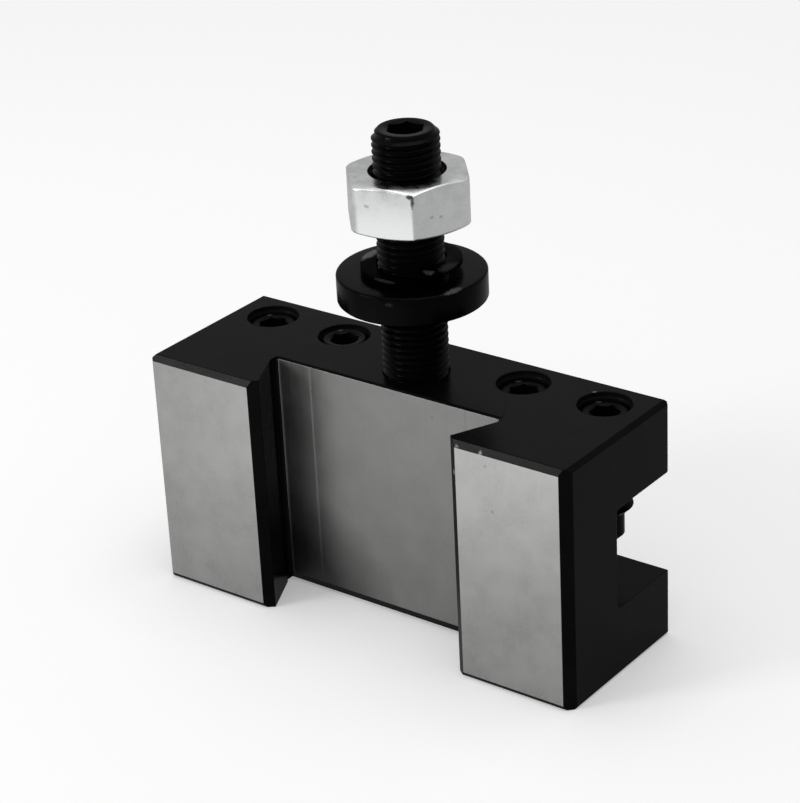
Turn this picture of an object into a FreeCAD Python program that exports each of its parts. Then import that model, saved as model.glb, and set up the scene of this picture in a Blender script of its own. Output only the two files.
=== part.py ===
"""Quick-change lathe tool holder, in millimetres.

The block has a dovetail channel between two ground lands on its front (-Y) and an open slot
for the tool along its back (+Y). A stud in its top carries the height collar, a split spring
washer and the lock nut, and four set screws with dog points clamp the tool. The origin is the
centre of the block's bottom face, X runs along the slot and Z is up.
"""
import FreeCAD, Part
import os
import Sketcher
from FreeCAD import Rotation, Vector

# Driving dimensions, in millimetres and degrees.
SIZES = [
    ("block_length", 74.5, "block along the tool slot"),
    ("block_depth", 26.4, "ground front face to back face"),
    ("block_height", 38.1, "bottom face to top face"),
    ("land_gap", 37.3, "between the two ground lands at the front face"),
    ("throat_gap", 34.4, "narrowest opening of the dovetail, behind its blunted lips"),
    ("lip_depth", 1.15, "depth of the blunted lips"),
    ("flank_angle", 25, "each dovetail flank from the line square to the front face"),
    ("channel_depth", 9.15, "front face to the ground channel floor"),
    ("root_fillet", 0.9, "rounding in both roots of the dovetail"),
    ("slot_floor", 10.85, "bottom face to the floor of the tool slot"),
    ("slot_opening", 15.9, "tool slot floor to ceiling"),
    ("slot_depth", 14.0, "back face to the inner wall of the tool slot"),
    ("slot_mouth_break", 0.5, "bevel on both edges of the slot's mouth"),
    ("slot_root_bevel", 0.4, "bevel in both inner corners of the slot"),
    ("wide_corner", 1.4, "bevel on the front right upright edge"),
    ("corner_break", 0.35, "bevel on the other three upright edges"),
    ("land_bevel_height", 1.05, "bevel along the top of the lands, down the land"),
    ("land_bevel_depth", 0.55, "the same bevel, across the top face"),
    ("land_foot_height", 0.75, "bevel along the bottom of the lands, up the land"),
    ("land_foot_depth", 0.4, "the same bevel, across the bottom face"),
    ("end_bevel", 0.65, "bevel on the short top edges"),
    ("floor_bevel", 0.3, "bevel on the channel floor's top edge"),
    ("floor_bevel_length", 40.6, "the same bevel, along the edge"),
    ("floor_foot_height", 1.5, "bevel on the channel floor's bottom edge, up the floor"),
    ("floor_foot_depth", 0.8, "the same bevel, across the bottom face"),
    ("edge_break", 0.3, "bevel on the long back edges and round the bottom"),
    ("thread_clearance", 0.05, "radial room between a screw and its hole"),
    ("hole_lead", 0.05, "countersink on the rim of each hole"),
    ("stud_diameter", 9.8, "M10 stud over its crests"),
    ("stud_length", 45, "stud from end to end"),
    ("stud_setback", 16.15, "front face to the stud's axis"),
    ("stud_shift", 0.5, "middle of the block to the stud's axis, along X"),
    ("stud_seat", 7.5, "stud inside the block"),
    ("stud_hole_spare", 1.0, "hole below the stud's end"),
    ("stud_chamfer", 0.9, "bevel on both ends of the stud"),
    ("stud_socket", 5, "stud socket across flats"),
    ("stud_socket_depth", 6, "stud socket depth"),
    ("collar_gap", 11.7, "block top to the underside of the collar as photographed"),
    ("collar_diameter", 22, "collar disc"),
    ("collar_thickness", 4.3, "collar disc"),
    ("collar_break", 0.25, "bevel on the collar's rims"),
    ("washer_bore", 10.3, "spring washer inside its ring"),
    ("washer_diameter", 14.8, "spring washer"),
    ("washer_thickness", 0.9, "spring washer's section"),
    ("washer_rise", 1.3, "step between the ends of the spring washer"),
    ("washer_turns", 0.95, "part of a full turn that the spring washer goes round"),
    ("washer_turn", 302, "spring washer's lower end from the X axis"),
    ("nut_gap", 7.65, "collar to the lock nut as photographed"),
    ("nut_flats", 17, "lock nut across flats"),
    ("nut_height", 7.6, "lock nut"),
    ("nut_corner", 2.2, "rounding of the lock nut's six upright edges"),
    ("nut_turn", 10.7, "lock nut corner from the X axis"),
    ("nut_rim", 16.2, "diameter where the nut's corner bevel meets its faces"),
    ("nut_bevel_angle", 22, "slope of the nut's corner bevel"),
    ("bore_lead", 0.7, "countersink in the bores of nut and collar"),
    ("screw_inset", 5.8, "back face to the axes of the set screws"),
    ("screw_margin", 7.05, "each end of the block to the axis of its outer set screw"),
    ("screw_spacing", 13.85, "outer to inner set screw"),
    ("screw_diameter", 7.9, "M8 set screw over its crests"),
    ("screw_length", 20, "set screw with its dog point"),
    ("screw_bevel", 0.6, "bevel on the set screw's top"),
    ("dog_diameter", 5.3, "dog point"),
    ("dog_length", 4, "dog point"),
    ("dog_bevel", 0.7, "bevel on the dog point's end"),
    ("screw_socket", 4, "set screw socket across flats"),
    ("screw_socket_depth", 5, "set screw socket depth"),
    ("screw_sink_1", 1.05, "set screw 1 below the top face as photographed"),
    ("screw_sink_2", 0.5, "set screw 2 below the top face as photographed"),
    ("screw_sink_3", 1.2, "set screw 3 below the top face as photographed"),
    ("screw_sink_4", 1.1, "set screw 4 below the top face as photographed"),
    ("screw_turn_1", 20, "turn of set screw 1"),
    ("screw_turn_2", 48, "turn of set screw 2"),
    ("screw_turn_3", 5, "turn of set screw 3"),
    ("screw_turn_4", 33, "turn of set screw 4"),
]

# Places that several pieces share, as formulas of the sheet.
FRONT = "(-Sizes.block_depth / 2)"
BACK = "(Sizes.block_depth / 2)"
END = "(Sizes.block_length / 2)"
TOP = "Sizes.block_height"
CHANNEL_FLOOR = f"({FRONT} + Sizes.channel_depth)"
THROAT = "(Sizes.throat_gap / 2)"
FOOT = f"({THROAT} + (Sizes.channel_depth - Sizes.lip_depth) * tan(Sizes.flank_angle))"
SLOT_WALL = f"({BACK} - Sizes.slot_depth)"
SLOT_CEILING = "(Sizes.slot_floor + Sizes.slot_opening)"
STUD_X = "Sizes.stud_shift"
STUD_Y = f"({FRONT} + Sizes.stud_setback)"
SCREW_Y = f"({BACK} - Sizes.screw_inset)"
OUTER_SCREW = f"({END} - Sizes.screw_margin)"
INNER_SCREW = f"({OUTER_SCREW} - Sizes.screw_spacing)"
COLLAR_Z = "(Sizes.block_height + Sizes.collar_gap)"
COLLAR_TOP = f"({COLLAR_Z} + Sizes.collar_thickness)"
NUT_Z = f"({COLLAR_TOP} + Sizes.nut_gap)"
STUD_HOLE_RADIUS = "(Sizes.stud_diameter / 2 + Sizes.thread_clearance)"
SCREW_HOLE_RADIUS = "(Sizes.screw_diameter / 2 + Sizes.thread_clearance)"

# The place along X of each set screw.
SCREWS = [
    ("set_screw_1", f"-{OUTER_SCREW}"),
    ("set_screw_2", f"-{INNER_SCREW}"),
    ("set_screw_3", INNER_SCREW),
    ("set_screw_4", OUTER_SCREW),
]

NEAR = 1e-4


def make_sheet(doc):
    """Write the driving dimensions into a spreadsheet, one alias for each."""
    sheet = doc.addObject("Spreadsheet::Sheet", "Sizes")
    for row, (name, size, meaning) in enumerate(SIZES, 1):
        sheet.set(f"A{row}", name)
        sheet.set(f"B{row}", str(size))
        sheet.set(f"C{row}", meaning)
        sheet.setAlias(f"B{row}", name)
    doc.recompute()
    return sheet


def new_body(doc, name):
    """Add an empty body whose label names its file."""
    body = doc.addObject("PartDesign::Body", name)
    body.Label = name
    return body


def origin_plane(body, role):
    """Find one of the body's own origin planes by its role."""
    return next(item for item in body.Origin.OriginFeatures if item.Role == role)


def new_sketch(body, name, role, shift=("0", "0", "0")):
    """Add a sketch on an origin plane, its origin shifted along its own three axes."""
    sketch = body.newObject("Sketcher::SketchObject", name)
    sketch.AttachmentSupport = (origin_plane(body, role), [""])
    sketch.MapMode = "FlatFace"
    for axis, formula in zip("xyz", shift):
        sketch.setExpression(f"AttachmentOffset.Base.{axis}", formula)
    return sketch


def worth(sketch, formula):
    """Work out what a formula of the sheet comes to."""
    return float(sketch.evalExpression(formula))


def pin(sketch, line, across, up):
    """Tie a line's start to the sketch's origin with two dimensions from the sheet."""
    for kind, formula in (("DistanceX", across), ("DistanceY", up)):
        size = worth(sketch, formula)
        number = sketch.addConstraint(Sketcher.Constraint(kind, -1, 1, line, 1, size))
        sketch.setExpression(f"Constraints[{number}]", formula)


def outline(sketch, corners):
    """Draw a closed outline of straight lines through corners given as pairs of formulas."""
    points = [Vector(worth(sketch, across), worth(sketch, up), 0) for across, up in corners]
    first = sketch.GeometryCount
    count = len(points)
    for index, point in enumerate(points):
        sketch.addGeometry(Part.LineSegment(point, points[(index + 1) % count]), False)
    for index, (across, up) in enumerate(corners):
        following = first + (index + 1) % count
        sketch.addConstraint(Sketcher.Constraint("Coincident", first + index, 2, following, 1))
        pin(sketch, first + index, across, up)


def hexagon(sketch, flats):
    """Draw a regular hexagon round the sketch's origin, a corner on its first axis."""
    radius = f"({flats} / 2 / cos(30))"
    angles = range(0, 360, 60)
    outline(sketch, [(f"{radius} * cos({angle})", f"{radius} * sin({angle})") for angle in angles])


def pad(body, sketch, height):
    """Raise a sketch by a height from the sheet."""
    feature = body.newObject("PartDesign::Pad", sketch.Name + "_pad")
    feature.Profile = sketch
    feature.setExpression("Length", height)
    return feature


def revolve(body, sketch):
    """Turn a half profile right round the sketch's upright axis."""
    feature = body.newObject("PartDesign::Revolution", sketch.Name + "_turned")
    feature.Profile = sketch
    feature.ReferenceAxis = (sketch, ["V_Axis"])
    feature.Angle = 360
    return feature


def cut(body, kind, sketch, settings):
    """Cut with a sketch and make sure that the cut takes material away."""
    before = body.Shape.Volume
    feature = body.newObject(f"PartDesign::{kind}", sketch.Name + "_cut")
    feature.Profile = sketch
    for name, setting in settings.items():
        if name == "Length":
            feature.setExpression(name, setting)
        else:
            setattr(feature, name, setting)
    body.Document.recompute()
    if body.Shape.Volume >= before:
        raise RuntimeError(f"{feature.Name} cuts nothing")
    return feature


def cut_across(body, sketch, length):
    """Cut a profile along X, half of the length each way from the block's middle plane."""
    return cut(body, "Pocket", sketch, {"SideType": "Symmetric", "Length": length})


def cut_round(body, sketch):
    """Cut a half profile right round the sketch's upright axis."""
    return cut(body, "Groove", sketch, {"ReferenceAxis": (sketch, ["V_Axis"]), "Angle": 360})


def near(one, other):
    """Tell whether two lengths are the same."""
    return abs(one - other) < NEAR


def dress(body, name, kind, test, setting, size):
    """Bevel or round every edge of the body whose ends and middle all meet the test."""
    names = []
    for number, edge in enumerate(body.Shape.Edges, 1):
        places = [corner.Point for corner in edge.Vertexes] + [edge.CenterOfMass]
        if all(test(place) for place in places):
            names.append(f"Edge{number}")
    if not names:
        raise RuntimeError(f"{name} finds no edge")
    base = body.Tip
    feature = body.newObject(f"PartDesign::{kind}", name)
    feature.Base = (base, names)
    feature.setExpression(setting, size)
    body.Document.recompute()
    return feature


def bevel(body, name, test, size):
    """Bevel the edges that meet the test."""
    return dress(body, name, "Chamfer", test, "Size", size)


def fillet(body, name, test, radius):
    """Round the edges that meet the test."""
    return dress(body, name, "Fillet", test, "Radius", radius)


def plan_corners():
    """Corners of the block seen from above: outer edges, blunted lips and dovetail flanks."""
    right_half = [
        ("Sizes.land_gap / 2", FRONT),
        (THROAT, f"{FRONT} + Sizes.lip_depth"),
        (FOOT, CHANNEL_FLOOR),
    ]
    left_half = [(f"-({across})", up) for across, up in reversed(right_half)]
    small = "Sizes.corner_break"
    wide = "Sizes.wide_corner"
    outside = [
        (f"-{END} + {small}", FRONT),
        (f"-{END}", f"{FRONT} + {small}"),
        (f"-{END}", f"{BACK} - {small}"),
        (f"-{END} + {small}", BACK),
        (f"{END} - {small}", BACK),
        (END, f"{BACK} - {small}"),
        (END, f"{FRONT} + {wide}"),
        (f"{END} - {wide}", FRONT),
    ]
    return right_half + left_half + outside


def slot_corners():
    """Section of the tool slot: bevelled inner corners and a mouth that opens a little."""
    root = "Sizes.slot_root_bevel"
    mouth = "Sizes.slot_mouth_break"
    outside = f"{BACK} + 1"
    return [
        (f"{SLOT_WALL} + {root}", "Sizes.slot_floor"),
        (f"{BACK} - {mouth}", "Sizes.slot_floor"),
        (outside, f"Sizes.slot_floor - {mouth} - 1"),
        (outside, f"{SLOT_CEILING} + {mouth} + 1"),
        (f"{BACK} - {mouth}", SLOT_CEILING),
        (f"{SLOT_WALL} + {root}", SLOT_CEILING),
        (SLOT_WALL, f"{SLOT_CEILING} - {root}"),
        (SLOT_WALL, f"Sizes.slot_floor + {root}"),
    ]


def edge_bevel_corners(face, edge, step, tall, deep):
    """Section of a bevel on a front face's upper (step 1) or lower (step -1) edge."""
    return [
        (face, f"{edge} - {step} * {tall}"),
        (f"{face} + {deep}", edge),
        (f"{face} + {deep}", f"{edge} + {step}"),
        (f"{face} - 1", f"{edge} + {step}"),
        (f"{face} - 1", f"{edge} - {step} * {tall}"),
    ]


def hole_corners(radius, bottom):
    """Half profile of an upright hole with a countersunk rim at the top face."""
    lead = "Sizes.hole_lead"
    return [
        ("0", bottom),
        (radius, bottom),
        (radius, f"{TOP} - {lead}"),
        (f"{radius} + {lead} + 1", f"{TOP} + 1"),
        ("0", f"{TOP} + 1"),
    ]


def cut_holes(body):
    """Cut the blind hole for the stud and the four screw holes, which open into the slot."""
    stud_bottom = f"{TOP} - Sizes.stud_seat - Sizes.stud_hole_spare"
    stud_hole = new_sketch(body, "stud_hole", "XZ_Plane", (STUD_X, "0", f"-{STUD_Y}"))
    outline(stud_hole, hole_corners(STUD_HOLE_RADIUS, stud_bottom))
    cut_round(body, stud_hole)
    holes = []
    for name, place in (("inner_screw_hole", INNER_SCREW), ("outer_screw_hole", OUTER_SCREW)):
        screw_hole = new_sketch(body, name, "XZ_Plane", (place, "0", f"-{SCREW_Y}"))
        outline(screw_hole, hole_corners(SCREW_HOLE_RADIUS, f"{SLOT_CEILING} - 1"))
        holes.append(cut_round(body, screw_hole))
    mirror = body.newObject("PartDesign::Mirrored", "screw_holes_mirrored")
    mirror.Originals = holes
    mirror.MirrorPlane = (origin_plane(body, "YZ_Plane"), [""])
    body.Tip = mirror
    body.Document.recompute()


def make_holder_body(doc, sheet):
    """Mill the block: plan outline, edge breaks, rounded roots, bevels, tool slot and holes."""
    body = new_body(doc, "holder_body")
    plan = new_sketch(body, "plan", "XY_Plane")
    outline(plan, plan_corners())
    pad(body, plan, TOP)
    doc.recompute()

    back = sheet.block_depth / 2
    end = sheet.block_length / 2
    top = sheet.block_height
    bevel(body, "end_bevels", lambda p: near(abs(p.x), end) and near(p.z, top), "Sizes.end_bevel")
    bevel(body, "back_breaks", lambda p: near(p.y, back) and near(p.z * (p.z - top), 0), "Sizes.edge_break")
    bevel(body, "foot_breaks", lambda p: near(abs(p.x), end) and near(p.z, 0), "Sizes.edge_break")

    foot = worth(plan, FOOT)
    floor = worth(plan, CHANNEL_FLOOR)
    fillet(body, "root_fillets", lambda p: near(abs(p.x), foot) and near(p.y, floor), "Sizes.root_fillet")

    whole = "Sizes.block_length + 2"
    bevels = [
        ("land_bevels", FRONT, TOP, 1, "land_bevel_height", "land_bevel_depth", whole),
        ("land_foot_bevels", FRONT, "0", -1, "land_foot_height", "land_foot_depth", whole),
        ("floor_bevel", CHANNEL_FLOOR, TOP, 1, "floor_bevel", "floor_bevel", "Sizes.floor_bevel_length"),
        ("floor_foot_bevel", CHANNEL_FLOOR, "0", -1, "floor_foot_height", "floor_foot_depth", f"2 * {FOOT}"),
    ]
    for name, face, edge, step, tall, deep, length in bevels:
        section = new_sketch(body, name, "YZ_Plane")
        outline(section, edge_bevel_corners(face, edge, step, f"Sizes.{tall}", f"Sizes.{deep}"))
        cut_across(body, section, length)
    slot = new_sketch(body, "tool_slot", "YZ_Plane")
    outline(slot, slot_corners())
    cut_across(body, slot, whole)
    cut_holes(body)
    return body


def cut_socket(body, name, flats, length, depth):
    """Cut a hexagon socket down into the top end of a screw."""
    sketch = new_sketch(body, name, "XY_Plane", ("0", "0", length))
    hexagon(sketch, flats)
    cut(body, "Pocket", sketch, {"Length": depth})


def place_on_stud(body, height):
    """Put a body on the stud's axis at a height from the sheet."""
    for axis, formula in (("x", STUD_X), ("y", STUD_Y), ("z", height)):
        body.setExpression(f"Placement.Base.{axis}", formula)


def make_height_stud(doc):
    """Turn the stud with both ends bevelled and cut the socket in its top."""
    body = new_body(doc, "height_stud")
    radius = "Sizes.stud_diameter / 2"
    length = "Sizes.stud_length"
    chamfer = "Sizes.stud_chamfer"
    rim = "(Sizes.stud_socket * 0.6)"
    profile = new_sketch(body, "stud_profile", "XZ_Plane")
    outline(profile, [
        ("0", "0"),
        (f"{radius} - {chamfer}", "0"),
        (radius, chamfer),
        (radius, f"{length} - {chamfer}"),
        (f"{radius} - {chamfer}", length),
        (rim, length),
        ("0", f"{length} - {rim} * tan(30)"),
    ])
    revolve(body, profile)
    doc.recompute()
    cut_socket(body, "stud_socket", "Sizes.stud_socket", length, "Sizes.stud_socket_depth")
    place_on_stud(body, f"{TOP} - Sizes.stud_seat")
    return body


def make_height_collar(doc):
    """Turn the collar: a plain disc, bored to run on the stud."""
    body = new_body(doc, "height_collar")
    bore = STUD_HOLE_RADIUS
    lead = "Sizes.bore_lead"
    rim = "Sizes.collar_diameter / 2"
    rim_break = "Sizes.collar_break"
    height = "Sizes.collar_thickness"
    profile = new_sketch(body, "collar_profile", "XZ_Plane")
    outline(profile, [
        (f"{bore} + {lead}", "0"),
        (f"{rim} - {rim_break}", "0"),
        (rim, rim_break),
        (rim, f"{height} - {rim_break}"),
        (f"{rim} - {rim_break}", height),
        (f"{bore} + {lead}", height),
        (bore, f"{height} - {lead}"),
        (bore, lead),
    ])
    revolve(body, profile)
    place_on_stud(body, COLLAR_Z)
    return body


def make_spring_washer(doc, sheet):
    """Coil the split washer: a flat section led round the stud on a short left-hand helix."""
    body = new_body(doc, "spring_washer")
    inside = "Sizes.washer_bore / 2"
    outside = "Sizes.washer_diameter / 2"
    section = new_sketch(body, "washer_section", "XZ_Plane")
    outline(section, [
        (inside, "0"),
        (outside, "0"),
        (outside, "Sizes.washer_thickness"),
        (inside, "Sizes.washer_thickness"),
    ])
    coil = body.newObject("PartDesign::AdditiveHelix", "washer_coil")
    coil.Profile = section
    coil.ReferenceAxis = (section, ["V_Axis"])
    coil.Mode = "height-turns-angle"
    coil.LeftHanded = True
    coil.setExpression("Height", "Sizes.washer_rise")
    coil.setExpression("Turns", "Sizes.washer_turns")
    turn = Rotation(Vector(0, 0, 1), sheet.washer_turn)
    body.Placement = FreeCAD.Placement(Vector(0, 0, 0), turn)
    place_on_stud(body, COLLAR_TOP)
    return body


def make_lock_nut(doc, sheet):
    """Make the hexagon nut: rounded upright edges, coned corners and a countersunk bore."""
    body = new_body(doc, "lock_nut")
    height = "Sizes.nut_height"
    lead = "Sizes.bore_lead"
    bore = STUD_HOLE_RADIUS
    prism = new_sketch(body, "nut_hexagon", "XY_Plane")
    hexagon(prism, "Sizes.nut_flats")
    pad(body, prism, height)
    doc.recompute()
    corner = worth(prism, "Sizes.nut_flats / 2 / cos(30)")
    fillet(body, "nut_corners", lambda p: near(Vector(p.x, p.y, 0).Length, corner), "Sizes.nut_corner")

    outside = "(Sizes.nut_flats / 2 / cos(30) + 1)"
    rim = "(Sizes.nut_rim / 2)"
    drop = f"(({outside} - {rim}) * tan(Sizes.nut_bevel_angle))"
    cones = new_sketch(body, "corner_bevels", "XZ_Plane")
    outline(cones, [(rim, height), (outside, height), (outside, f"{height} - {drop}")])
    outline(cones, [(rim, "0"), (outside, drop), (outside, "0")])
    cut_round(body, cones)
    hole = new_sketch(body, "nut_bore", "XZ_Plane")
    outline(hole, [
        ("0", "0"),
        (f"{bore} + {lead}", "0"),
        (bore, lead),
        (bore, f"{height} - {lead}"),
        (f"{bore} + {lead}", height),
        ("0", height),
    ])
    cut_round(body, hole)
    turn = Rotation(Vector(0, 0, 1), sheet.nut_turn)
    body.Placement = FreeCAD.Placement(Vector(0, 0, 0), turn)
    place_on_stud(body, NUT_Z)
    return body


def make_set_screw(doc, name, place, sheet):
    """Turn one set screw with its dog point down and cut the socket in its top."""
    body = new_body(doc, name)
    number = name[-1]
    radius = "Sizes.screw_diameter / 2"
    dog = "Sizes.dog_diameter / 2"
    length = "Sizes.screw_length"
    top_bevel = "Sizes.screw_bevel"
    end_bevel = "Sizes.dog_bevel"
    rim = "(Sizes.screw_socket * 0.6)"
    profile = new_sketch(body, name + "_profile", "XZ_Plane")
    outline(profile, [
        ("0", "0"),
        (f"{dog} - {end_bevel}", "0"),
        (dog, end_bevel),
        (dog, "Sizes.dog_length"),
        (radius, f"Sizes.dog_length + {radius} - {dog}"),
        (radius, f"{length} - {top_bevel}"),
        (f"{radius} - {top_bevel}", length),
        (rim, length),
        ("0", f"{length} - {rim} * tan(30)"),
    ])
    revolve(body, profile)
    doc.recompute()
    cut_socket(body, name + "_socket", "Sizes.screw_socket", length, "Sizes.screw_socket_depth")
    turn = Rotation(Vector(0, 0, 1), sheet.getPropertyByName(f"screw_turn_{number}"))
    body.Placement = FreeCAD.Placement(Vector(0, 0, 0), turn)
    body.setExpression("Placement.Base.x", place)
    body.setExpression("Placement.Base.y", SCREW_Y)
    body.setExpression("Placement.Base.z", f"{TOP} - Sizes.screw_sink_{number} - {length}")
    return body


def check(doc, bodies):
    """Stop if any object failed or any sub-part is not one sound solid."""
    for item in doc.Objects:
        if {"Invalid", "Error"} & set(item.State):
            raise RuntimeError(f"{item.Name} failed: {item.State}")
    for body in bodies:
        shape = body.Shape
        if shape.isNull() or not shape.isValid() or len(shape.Solids) != 1:
            raise RuntimeError(f"{body.Label} is not one sound solid")
        print(f"{body.Label}: {shape.Volume:.1f} mm3, top {shape.BoundBox.ZMax:.2f} mm")


def main():
    """Build the tool holder and write one STEP file for each piece."""
    doc = FreeCAD.newDocument("tool_holder")
    sheet = make_sheet(doc)
    bodies = [
        make_holder_body(doc, sheet),
        make_height_stud(doc),
        make_height_collar(doc),
        make_spring_washer(doc, sheet),
        make_lock_nut(doc, sheet),
    ]
    for name, place in SCREWS:
        bodies.append(make_set_screw(doc, name, place, sheet))
    doc.recompute()
    check(doc, bodies)
    os.makedirs("parts", exist_ok=True)
    for body in bodies:
        body.Shape.exportStep(f"parts/{body.Label}.step")


main()
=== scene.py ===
"""Dressed model of a quick-change lathe tool holder.

The block, its threaded stud and set screws, the height collar, the spring washer and the lock
nut are surfaces worked out with numpy in the frame of the CAD bodies: X along the tool slot,
the dovetail channel on the front (-Y), Z up. Lengths are millimetres until a mesh is made.
"""

import logging
import math
from dataclasses import dataclass, field
from enum import IntEnum
from typing import Any

import bmesh
import bpy
import numpy as np
from mathutils import Matrix, Vector

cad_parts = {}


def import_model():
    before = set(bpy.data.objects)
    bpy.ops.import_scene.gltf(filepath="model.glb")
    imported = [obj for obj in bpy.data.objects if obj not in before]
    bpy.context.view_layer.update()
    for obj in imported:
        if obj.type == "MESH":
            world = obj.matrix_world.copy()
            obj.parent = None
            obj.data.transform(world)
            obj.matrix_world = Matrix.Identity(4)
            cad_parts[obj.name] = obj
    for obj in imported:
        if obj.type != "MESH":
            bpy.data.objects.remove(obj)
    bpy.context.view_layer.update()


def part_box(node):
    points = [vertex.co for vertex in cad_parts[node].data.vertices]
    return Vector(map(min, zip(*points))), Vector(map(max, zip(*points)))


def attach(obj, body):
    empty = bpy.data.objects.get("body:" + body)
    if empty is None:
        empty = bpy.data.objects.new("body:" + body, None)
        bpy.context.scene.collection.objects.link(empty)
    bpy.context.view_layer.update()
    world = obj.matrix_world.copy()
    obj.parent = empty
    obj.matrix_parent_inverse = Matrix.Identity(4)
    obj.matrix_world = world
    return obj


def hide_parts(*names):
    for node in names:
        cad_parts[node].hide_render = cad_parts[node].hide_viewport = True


LOG = logging.getLogger("tool_holder")
MM = 0.001
MERGE_DISTANCE = 1.5e-6
SHORT_SIDE = 0.4
SENSOR_MM = 36.0


class Zone(IntEnum):
    """Material index of the block's faces."""

    OXIDE = 0
    LAND = 1
    FLOOR = 2
    TAPPED = 3


def to_linear(colour: str) -> tuple[float, float, float, float]:
    """Turn an sRGB hex colour such as "#8A8D8F" into linear RGBA.

    Args:
        colour: the colour as # and six hex digits.

    Returns:
        Linear red, green and blue, and an alpha of one.
    """
    digits = colour.lstrip("#")
    channels = np.array([int(digits[at:at + 2], 16) for at in (0, 2, 4)]) / 255.0
    low = channels / 12.92
    high = ((channels + 0.055) / 1.055) ** 2.4
    red, green, blue = np.where(channels <= 0.04045, low, high)
    return float(red), float(green), float(blue), 1.0


def per_metre(size_mm: float) -> float:
    """Scale of a noise or cell texture whose features are size_mm across."""
    return 1.0 / (size_mm * MM)


def band_scale(pitch_mm: float) -> float:
    """Scale of a wave texture whose bands repeat every pitch_mm."""
    return math.pi / (10.0 * pitch_mm * MM)


def add_node(tree: bpy.types.NodeTree, kind: str, inputs: dict[Any, Any] | None = None,
             **settings: Any) -> bpy.types.Node:
    """Add one shader node with its settings, its values and its links.

    Args:
        tree: node tree that receives the node.
        kind: node type without the leading ShaderNode.
        inputs: input name or number, mapped to a value or to the socket linked into it.
        **settings: attributes of the node.

    Returns:
        The new node.
    """
    node = tree.nodes.new("ShaderNode" + kind)
    for name, setting in settings.items():
        setattr(node, name, setting)
    for key, source in (inputs or {}).items():
        if isinstance(source, bpy.types.NodeSocket):
            tree.links.new(source, node.inputs[key])
        else:
            node.inputs[key].default_value = source
    return node


def new_material(name: str) -> tuple[bpy.types.Material, bpy.types.NodeTree,
                                     bpy.types.NodeSocket]:
    """Make a node material that holds nothing but Object coordinates.

    Args:
        name: name of the finish.

    Returns:
        The material, its node tree and the socket of the coordinates.
    """
    material = bpy.data.materials.new(name)
    material.use_nodes = True
    tree = material.node_tree
    tree.nodes.clear()
    return material, tree, add_node(tree, "TexCoord").outputs["Object"]


@dataclass(frozen=True)
class Mark:
    """A mark on a finish: a soft-edged ellipsoid in which the colour changes.

    It has its middle, its half length along each axis in millimetres, its colour, and the size
    of the noise that breaks up its outline. It fades out between the two edges, which count in
    half lengths from the middle with the noise of 0 to 1 added.
    """

    middle: tuple[float, float, float]
    reach: tuple[float, float, float]
    colour: str
    strength: float = 0.8
    ragged_mm: float = 0.4
    edges: tuple[float, float] = (1.0, 1.5)

    def lay(self, tree: bpy.types.NodeTree, place: bpy.types.NodeSocket,
            under: bpy.types.NodeSocket) -> bpy.types.NodeSocket:
        """Lay the mark over a colour, its outline broken up by noise.

        Args:
            tree: node tree of the finish.
            place: Object coordinates.
            under: colour of the finish without the mark.

        Returns:
            The colour with the mark.
        """
        size = tuple(1.0 / (length * MM) for length in self.reach)
        shift = tuple(-at * MM * scale for at, scale in zip(self.middle, size))
        local = add_node(tree, "Mapping", {"Vector": place, "Location": shift, "Scale": size})
        away = add_node(tree, "VectorMath", {0: local.outputs[0]}, operation="LENGTH")
        ragged = add_node(tree, "TexNoise", {
            "Vector": place, "Scale": per_metre(self.ragged_mm), "Detail": 2.0})
        spread = add_node(tree, "Math", {0: ragged.outputs["Fac"], 1: away.outputs["Value"]},
                          operation="ADD")
        full, gone = self.edges
        share = add_node(tree, "MapRange", {0: spread.outputs[0], 1: full, 2: gone,
                                            3: self.strength, 4: 0.0})
        return add_node(tree, "Mix", {0: share.outputs[0], 6: under,
                                      7: to_linear(self.colour)}, data_type="RGBA").outputs[2]


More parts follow.
